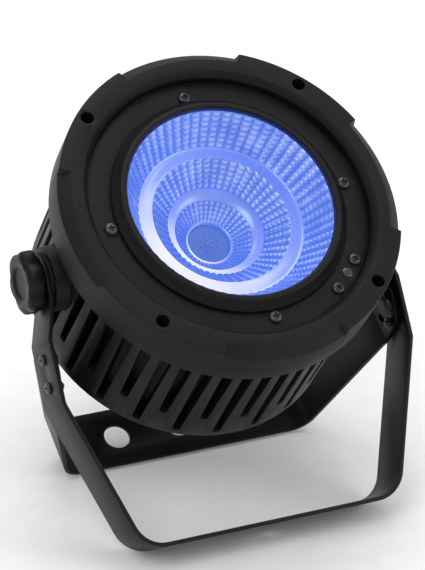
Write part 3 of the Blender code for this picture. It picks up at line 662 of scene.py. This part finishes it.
bezel = [(0.0768, 0.0653), (0.0865, 0.0653), (0.0865, 0.0664), (0.0858, 0.0672), (0.0820, 0.0708), (0.0812,
                                                                                                    0.0724),
         (0.0804, 0.0731), (0.0794, 0.0733), (0.0774, 0.0733), (0.0768, 0.0730)]
mount(soften(piece("lensBezel", hoop(bezel, 288)), 0.00025), lampFrame, "lamp",
      paint["black_casting"], ["lens_bezel"])
seal = [(0.0798, 0.0643), (0.0857, 0.0643), (0.0857, 0.0650), (0.0798, 0.0650)]
mount(piece("bezelSeal", hoop(seal, 192)), lampFrame, "lamp", paint["black_rubber"],
      ["bezel_gasket"])
pane = [(0.0760, 0.0718), (0.0765, 0.0721), (0.0765, 0.0727), (0.0760, 0.0730)]
mount(piece("frontGlass", turned(pane, 192)), lampFrame, "lamp", glassPaint, ["front_glass"])

# reflector: three tiers of pillowed facets with smooth bands between, all with a painted blue glow and
# painted highlights
tiers = [
    {"columns": 60, "rows": 7, "from": (0.0758, 0.0698), "to": (0.0613, 0.0443), "pillow": 0.00125},
    {"columns": 48, "rows": 6, "from": (0.0511, 0.0455), "to": (0.0357, 0.0293), "pillow": 0.00095},
    {"columns": 40, "rows": 5, "from": (0.0287, 0.0234), "to": (0.0170, 0.0112), "pillow": 0.00055},
]
facet = {"across": 6, "along": 5}


def facetColumn(tier):
    bm = bmesh.new()
    (r0, z0), (r1, z1) = tier["from"], tier["to"]
    slope = Vector((r1 - r0, z1 - z0)).normalized()
    inward = Vector((slope.y, -slope.x))
    if inward.x > 0:
        inward = -inward
    across, along, rows = facet["across"], facet["along"], tier["rows"]
    half = math.pi / tier["columns"]
    grid = []
    # per-vertex weight for the painted facet highlight: each pillow's crown is painted lighter in the
    # reflector glow
    shade = bm.verts.layers.float.new("paintedFacetHighlight")
    for j in range(rows * along + 1):
        t = j / (rows * along)
        v = (j % along) / along
        line = []
        for i in range(across + 1):
            u = i / across
            hump = math.sin(math.pi * u) ** 0.7 * (0.30 + 0.70 * math.sin(math.pi * v) ** 0.7)
            lift = tier["pillow"] * hump
            r = r0 + (r1 - r0) * t + inward.x * lift
            z = z0 + (z1 - z0) * t + inward.y * lift
            a = -half + 2 * half * u
            vert = bm.verts.new((r * math.cos(a), r * math.sin(a), z))
            vert[shade] = hump * (0.55 + 0.45 * v)
            line.append(vert)
        grid.append(line)
    for a, b in zip(grid[:-1], grid[1:]):
        for i in range(across):
            bm.faces.new((a[i], b[i], b[i + 1], a[i + 1]))
    return bm


for n, tier in enumerate(tiers):
    ob = piece("reflectorTier%d" % (n + 1), facetColumn(tier))
    repeated(ob, tier["columns"], facetPaint)
    mount(ob, lampFrame, "lamp", facetPaint, ["reflector"], 24)

bands = [
    [(0.0613, 0.0443), (0.0606, 0.0437), (0.0590, 0.0435), (0.0560, 0.0442), (0.0525, 0.0452), (0.0514,
                                                                                                0.0456),
     (0.0511, 0.0455), (0.0511, 0.0449), (0.0560, 0.0434), (0.0600, 0.0428), (0.0612, 0.0434)],
    [(0.0357, 0.0293), (0.0350, 0.0282), (0.0330, 0.0262), (0.0305, 0.0244), (0.0290, 0.0238), (0.0287,
                                                                                                0.0234),
     (0.0291, 0.0228), (0.0330, 0.0252), (0.0360, 0.0286)],
    [(0.0170, 0.0112), (0.0174, 0.0122), (0.0169, 0.0126), (0.0162, 0.0122), (0.0158, 0.0110), (0.0160,
                                                                                                0.0102),
     (0.0172, 0.0102)],
]
made = [piece("band%d" % n, hoop(section, 240)) for n, section in enumerate(bands)]
ob = joined("reflectorBands", made)
mount(ob, lampFrame, "lamp", bandPaint, ["reflector"], 40)
# rim collar carries the painted shade glow of the gap between reflector and bezel
collar = [(0.0767, 0.0717), (0.0767, 0.0690), (0.0756, 0.0690), (0.0756, 0.0697), (0.0763, 0.0698), (0.0763,
                                                                                                     0.0717)]
mount(piece("reflectorRim", hoop(collar, 240)), lampFrame, "lamp", gapPaint,
      ["reflector"])

# emitter and its dots
disc = [(0.0210, 0.0064), (0.0210, 0.0082), (0.0154, 0.0082), (0.0154, 0.0092), (0.0150, 0.0096), (0.0145,
                                                                                                   0.0097)]
mount(piece("emitterDisc", turned(disc, 144)), lampFrame, "lamp", emitterPaint, ["cob_led"])
dots = {"rings": ((8, 0.0066), (4, 0.0030)), "radius": 0.00042, "top": 0.00985}
made = []
for count, radius in dots["rings"]:
    ob = piece("dots%d" % count, turned([(dots["radius"], 0.0096), (dots["radius"], dots["top"])], 16))
    made.append(repeated(ob, count, gapPaint, 12.0, None, radius))
mount(joined("emitterDots", made), lampFrame, "lamp", gapPaint, ["cob_led"])
print("reflector built")


# bent straps
def bentPath(points, radii, steps=5):
    out = [Vector(points[0])]
    for i in range(1, len(points) - 1):
        p, q, r = Vector(points[i - 1]), Vector(points[i]), Vector(points[i + 1])
        a, b = (p - q).normalized(), (r - q).normalized()
        half = math.acos(max(-1.0, min(1.0, a.dot(b)))) / 2
        back = radii[i - 1] / math.tan(half)
        centre = q + (a + b).normalized() * (radii[i - 1] / math.sin(half))
        u, v = q + a * back - centre, q + b * back - centre
        total = u.angle(v)
        count = max(4, int(round(steps * total / 0.35)))
        for j in range(count + 1):
            t = j / count
            out.append(centre + (u * math.sin((1 - t) * total) + v * math.sin(t * total)) / math.sin(total))
    out.append(Vector(points[-1]))
    return out


def strap(points, radii, edges, plain):
    head, tail = points[:plain], points[len(points) - plain:]
    path = [Vector(p) for p in head[:-1]]
    path += bentPath(points[plain - 1:len(points) - plain + 1], radii) + [Vector(p) for p in tail[1:]]
    loops = []
    for i, p in enumerate(path):
        before, after = path[max(0, i - 1)], path[min(len(path) - 1, i + 1)]
        d1 = (p - before).normalized() if i > 0 else (after - p).normalized()
        d2 = (after - p).normalized() if i < len(path) - 1 else d1
        d = (d1 + d2).normalized()
        q = p + Vector((d.y, -d.x)) * (fit["strap"] / max(0.5, d.dot(d1)))
        y0, y1 = edges(p.y)
        loops.append([(p.x, y0, p.y), (p.x, y1, p.y), (q.x, y1, q.y), (q.x, y0, q.y)])
    return loft(loops)


def bothLegs(half):
    return half + [(-x, z) for x, z in reversed(half)]


def sideHole(radius, y, z, x0, x1, s, segments=48):
    bm = alongX(turned([(radius, x0), (radius, x1)], segments, (y, z)), 1.0)
    return bm if s > 0 else mirrorX(bm)


yoke = {"end": 0.0190, "pivotX": 0.1304, "legX": 0.1386, "barX": 0.1011, "bendZ": -0.0904,
        "drop": -0.2023}


def yokeEdges(z):
    if z > 0.0:
        half = math.sqrt(max(1e-8, yoke["end"] ** 2 - z ** 2))
        return (-half, half)
    t = min(1.0, max(0.0, (-z - 0.034) / 0.020))
    half = yoke["end"] - 0.001 * min(1.0, -z / 0.01) + t * 0.002
    return (-half, half)


roundEnd = [yoke["end"] * math.sin(math.radians(a)) for a in range(84, 3, -8)]
leg = [(yoke["pivotX"], z) for z in roundEnd]
leg += [(yoke["pivotX"], -0.018), (yoke["legX"], -0.044), (yoke["legX"], yoke["bendZ"]), (yoke["barX"],
                                                                                          yoke["drop"])]
ob = piece("frontYoke", strap(bothLegs(leg), [0.010, 0.010, 0.012, 0.025, 0.025, 0.012, 0.010, 0.010],
                              yokeEdges,
                              len(roundEnd)))
holes = [turned([(0.0065, -0.212), (0.0065, -0.192)], 48)]
for s in (1.0, -1.0):
    holes.append(sideHole(fit["studHole"], 0.0, 0.0, 0.11, 0.15, s))
    for down in (places["foldBolts"], places["lockBolts"]):
        holes.append(sideHole(fit["m4Hole"], 0.0, -down, 0.12, 0.16, s))
carve(ob, gathered(holes))
soften(ob, 0.0006)
mount(ob, yokeFrame, "yoke", paint["black_powder_coat"], ["front_yoke"])

stand = {"tabX": 0.1353, "barX": 0.0989, "drop": -0.1388, "half": 0.0235, "lockRadius": 0.020,
         "slotIn": 53.0, "slotSpan": 67.0, "holes": (-0.05, 0.0, 0.05)}


def readEdge(table, z):
    if z >= table[0][0]:
        return table[0][1]
    for (z0, h0), (z1, h1) in zip(table[:-1], table[1:]):
        if z >= z1:
            return h0 + (h1 - h0) * (z0 - z) / (z0 - z1)
    return table[-1][1]


def standEdges(z):
    front = [(0.0114, 0.0040), (0.0095, 0.0085), (0.0060, 0.0150), (0.0020, 0.0205), (-0.0020,
                                                                                      stand["half"])]
    rear = [(0.0114, 0.0030), (0.0095, 0.0065), (0.0060, 0.0097), (0.0, 0.0116), (-0.0200, 0.0136),
            (-0.0450, stand["half"])]
    return (-readEdge(front, z), readEdge(rear, z))


tabEnd = [0.0114, 0.0095, 0.0078, 0.0060, 0.0040, 0.0020, 0.0, -0.0020, -0.0110, -0.0200]
leg = [(stand["tabX"], z) for z in tabEnd] + [(stand["tabX"], -0.025), (stand["barX"], stand["drop"])]
ob = piece("standBracket", strap(bothLegs(leg), [0.012, 0.018, 0.018, 0.012], standEdges, len(tabEnd)))
holes = [turned([(0.010, -0.15), (0.010, -0.13)], 64, (x, 0.0)) for x in stand["holes"]]
for s in (1.0, -1.0):
    holes.append(sideHole(fit["m4Hole"], 0.0, 0.0, 0.12, 0.15, s))
    wide, outer, inner = fit["m4Hole"], [], []
    for i in range(37):
        a = stance["standOpen"] + math.radians(-stand["slotIn"] + stand["slotSpan"] * i / 36)
        outer.append((-(stand["lockRadius"] + wide) * math.sin(a),
                      -(stand["lockRadius"] + wide) * math.cos(a)))
        inner.append((-(stand["lockRadius"] - wide) * math.sin(a),
                      -(stand["lockRadius"] - wide) * math.cos(a)))
    bean = loft([[(x, y, z) for y, z in outer + inner[::-1]] for x in (0.120, 0.150)])
    holes.append(bean if s > 0 else mirrorX(bean))
carve(ob, gathered(holes))
soften(ob, 0.0006)
mount(ob, standFrame, "stand", paint["black_powder_coat"], ["stand_bracket"])

# fold and lock bolts: head outside, nut inside
bolt = {"head": 0.0042, "height": 0.0021, "shank": 0.0020, "length": 0.0113, "seat": 0.1389,
        "nut": ((0.0034, 0.1288), (0.0038, 0.1291), (0.0038, 0.1317), (0.0034, 0.1320))}
for label, s in (("Left", -1.0), ("Right", 1.0)):
    for kind, nodeName, down in (("foldBolt", "stand_pivot_screw_", places["foldBolts"]),
                                 ("lockBolt", "stand_lock_screw_", places["lockBolts"])):
        ob = screwHead(kind + label, bolt, bolt["seat"])
        nut = loft([circle(r, z, 6) for r, z in bolt["nut"]])
        carve(ob, nut, 'UNION')
        ob.data.transform(Matrix.Translation((0.0, -down, 0.0)))
        ob.data.transform(Matrix(((0, 0, s, 0), (1, 0, 0, 0), (0, 1, 0, 0), (0, 0, 0, 1))))
        if s < 0:
            ob.data.flip_normals()
        mount(ob, yokeFrame, "yoke", darkScrew, [nodeName + label.lower()])
print("brackets built")

# hand knobs
knob = {"radius": 0.0238, "seat": 0.1307, "length": 0.0135, "points": 144}


def hexLoop(size, height):
    out = []
    for i in range(knob["points"]):
        a = math.tau * i / knob["points"]
        f = (math.cos(6 * a) + 1) / 2
        r = size * (0.865 + 0.135 * f ** 0.8)
        out.append((r * math.cos(a), r * math.sin(a), height))
    return out


for label, s in (("Left", -1.0), ("Right", 1.0)):
    seat, r, n, top = knob["seat"], knob["radius"], knob["points"], knob["seat"] + knob["length"]
    loops = [circle(0.0032, 0.1058, n), circle(0.0040, 0.1068, n), circle(0.0040, seat, n), circle(r * 0.62,
                                                                                                   seat, n),
             circle(r * 0.62, seat + 0.0018, n), hexLoop(r * 0.93, seat + 0.0018), hexLoop(r * 0.98,
                                                                                           seat + 0.0024),
             hexLoop(r, seat + 0.0034), hexLoop(r, top - 0.0040), hexLoop(r * 0.975, top - 0.0024),
             hexLoop(r * 0.87, top - 0.0004), hexLoop(r * 0.84, top), hexLoop(r * 0.62, top),
             circle(r * 0.52, top - 0.0004, n),
             circle(r * 0.46, top - 0.0016, n), circle(r * 0.20, top - 0.0018, n)]
    ob = soften(piece("knob" + label, alongX(loft(loops), s)), 0.0003, 2, 40)
    mount(ob, yokeFrame, "knob_" + label.lower(), paint["black_nylon"],
          ["knob_" + label.lower()])
    boss = [(0.0235, 0.1016), (0.0235, 0.1243), (0.0232, 0.1250), (0.0225, 0.1253)]
    ob = piece("trunnion" + label, alongX(turned(boss, 96), s))
    carve(ob, alongX(turned([(fit["studHole"], 0.1048), (fit["studHole"], 0.130)], 48), s))
    mount(ob, lampFrame, "lamp", paint["black_casting"], ["trunnion_" + label.lower()])
    washer = [(0.0043, 0.1256), (0.0195, 0.1256), (0.0195, 0.1271), (0.0043, 0.1271)]
    mount(piece("washer" + label, alongX(hoop(washer, 96), s)), yokeFrame, "yoke",
          paint["black_rubber"], ["friction_washer_" + label.lower()])

# rear cover and its fittings
cover = {"radius": 0.1058, "out": -0.0663, "in": -0.0633, "barrel": 0.0110}
sockets = (("dmx_in", (-0.030, -0.016), "black_nylon", "pins"), ("dmx_out", (0.030, -0.016), "black_nylon",
                                                                 "insert"),
           ("power_in", (-0.030, -0.058), "blue_nylon", "post"), ("power_out", (0.030, -0.058),
                                                                  "grey_nylon", "post"))
buttonX = (-0.024, -0.008, 0.008, 0.024)
ob = piece("rearCover", turned([(cover["radius"], cover["out"]), (cover["radius"], cover["in"])], 240))
holes = [turned([(0.0113, -0.069), (0.0113, -0.060)], 64, at) for _, at, _, _ in sockets]
holes += [turned([(0.0043, -0.069), (0.0043, -0.060)], 48, (x, places["buttonY"])) for x in buttonX]
holes += [turned([(0.0018, -0.069), (0.0018, -0.060)], 24, polar(places["coverScrews"]["circle"], a))
          for a in (45, 135, 225, 315)]
holes.append(turned([(0.0033, -0.069), (0.0033, -0.060)], 32, places["safetyEye"]))
holes.append(block(-0.0223, 0.0223, 0.0357, 0.0543, -0.069, cover["out"] + 0.0016))
carve(ob, gathered(holes))
soften(ob, 0.0003)
mount(ob, lampFrame, "lamp", paint["black_casting"], ["rear_cover"])

for name, (x, y), slotName, style in sockets:
    face = cover["out"] - fit["gap"]
    ob = piece("socket_" + name, block(x - 0.013, x + 0.013, y - 0.0155, y + 0.0155, face - 0.0022, face))
    carve(ob, turned([(cover["barrel"], face - 0.0010), (cover["barrel"], cover["in"] + 0.012)], 64, (x,
                                                                                                      y)),
                                                                                                      'UNION')
    carve(ob, turned([(0.0085, face - 0.004), (0.0085, cover["in"] + 0.006)], 64, (x, y)))
    soften(ob, 0.0004)
    if style == "pins":
        extra = [turned([(0.0011, face - 0.0006), (0.0012, face + 0.0002), (0.0012, cover["in"] + 0.008)],
                        24,
                        (x + polar(0.0041, a)[0], y + polar(0.0041, a)[1])) for a in (30, 150, 270)]
    elif style == "insert":
        extra = [turned([(0.0078, face + 0.0004), (0.0081, face + 0.0008), (0.0081, cover["in"] + 0.008)],
                        64, (x, y))]
    else:
        extra = [turned([(0.0040, face + 0.0006), (0.0044, face + 0.0012), (0.0044, cover["in"] + 0.008)],
                        48, (x, y))]
    for part in extra:
        carve(ob, part, 'UNION')
    if style == "insert":
        carve(ob, gathered([turned([(0.0013, face - 0.001), (0.0013, face + 0.006)], 24,
                                   (x + polar(0.0041, a)[0], y + polar(0.0041, a)[1])) for a in (30, 150,
                                                                                                 270)]))
    mount(ob, lampFrame, "lamp", paint[slotName], [name])

for i, x in enumerate(buttonX):
    profile = [(0.0020, -0.06855), (0.0030, -0.0684), (0.0037, -0.0681), (0.0040, -0.0676), (0.0040,
                                                                                             -0.0627),
               (0.0054, -0.0627), (0.0054, -0.0617)]
    mount(piece("menuButton%d" % (i + 1), turned(profile, 48, (x, places["buttonY"]))), lampFrame,
          "button_%d" % (i + 1),
          paint["black_rubber"], ["button_%d" % (i + 1)])
ob = soften(piece("menuWindow", block(-0.022, 0.022, 0.036, 0.054, cover["out"] - 0.0002,
                                      cover["out"] + 0.0013)), 0.0002)
mount(ob, lampFrame, "lamp", paint["dark_window"], ["display_window"])

eye = {"loop": 0.009, "wire": 0.0021, "at": (0.078, -0.0785)}
rows = []
for i in range(64):
    a = math.tau * i / 64
    out = Vector((math.cos(a), 0.0, math.sin(a)))
    centre = Vector((0.0, *eye["at"])) + out * eye["loop"]
    rows.append([centre + out * (eye["wire"] * math.cos(math.tau * j / 20))
                 + Vector((0.0, eye["wire"] * math.sin(math.tau * j / 20), 0.0)) for j in range(20)])
ob = piece("safetyEye", loft(rows, caps=False))
carve(ob, turned([(0.0050, -0.0689), (0.0055, -0.0685), (0.0055, -0.0666), (0.0030, -0.0666), (0.0030,
                                                                                               -0.0593)],
                                                                                               48,
                 places["safetyEye"]), 'UNION')
mount(ob, lampFrame, "lamp", paint["zinc_steel"], ["safety_eye"])

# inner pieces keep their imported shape
for node, slotName in (("cob_holder", "black_nylon"), ("heatsink_core", "bare_aluminium"),
                       ("driver_board", "green_board")):
    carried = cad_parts[node]
    carried.data.materials.clear()
    carried.data.materials.append(paint[slotName])
print("rear fittings built")

# studio
floor = piece("studioFloor", block(-6.0, 6.0, -6.0, 6.0, -0.02, 0.0))
pale = surface("studio_floor", {"dark": (0.90, 0.90, 0.90), "light": (0.94, 0.94, 0.94), "rough": (0.7,
                                                                                                   0.8),
                                "grain": 60.0, "bump": 0.0})
floor.data.materials.append(pale)
world = bpy.data.worlds.new("studio")
bpy.context.scene.world = world
world.use_nodes = True
sky = world.node_tree.nodes["Background"]
sky.inputs["Color"].default_value = (1.0, 1.0, 1.0, 1.0)
seen = world.node_tree.nodes.new('ShaderNodeLightPath')
level = world.node_tree.nodes.new('ShaderNodeMapRange')
level.inputs["To Min"].default_value = 0.72
level.inputs["To Max"].default_value = 1.0
world.node_tree.links.new(seen.outputs["Is Camera Ray"], level.inputs["Value"])
world.node_tree.links.new(level.outputs["Result"], sky.inputs["Strength"])
for name, spot, size, power in (("keyLight", (-1.2, -1.0, 2.0), 1.2, 13.0), ("fillLight", (1.8, -1.4, 1.2),
                                                                             1.6, 14.0),
                                ("topLight", (0.2, 0.9, 2.4), 1.8, 24.0)):
    lamp = bpy.data.lights.new(name, 'AREA')
    lamp.size = size
    lamp.energy = power
    ob = bpy.data.objects.new(name, lamp)
    bpy.context.scene.collection.objects.link(ob)
    ob.location = spot
    ob.rotation_euler = (Vector((0.0, 0.0, 0.15)) - Vector(spot)).to_track_quat('-Z', 'Y').to_euler()

view = {"at": (-0.8923, -1.85509, 1.20711), "right": (0.90673716, -0.42048125, 0.0319881),
        "up": (0.16617406, 0.42599817, 0.88933219), "lens": 201.544}
camera = bpy.data.objects.new("camera", bpy.data.cameras.new("camera"))
bpy.context.scene.collection.objects.link(camera)
right, up = Vector(view["right"]), Vector(view["up"])
back = right.cross(up)
turn = Matrix((right, up, back)).transposed().to_4x4()
camera.matrix_world = Matrix.Translation(view["at"]) @ turn
camera.data.lens = view["lens"]
camera.data.sensor_width = 36.0
camera.data.clip_end = 50.0
bpy.context.scene.camera = camera
bpy.context.scene.view_settings.view_transform = 'Standard'
print("studio built")
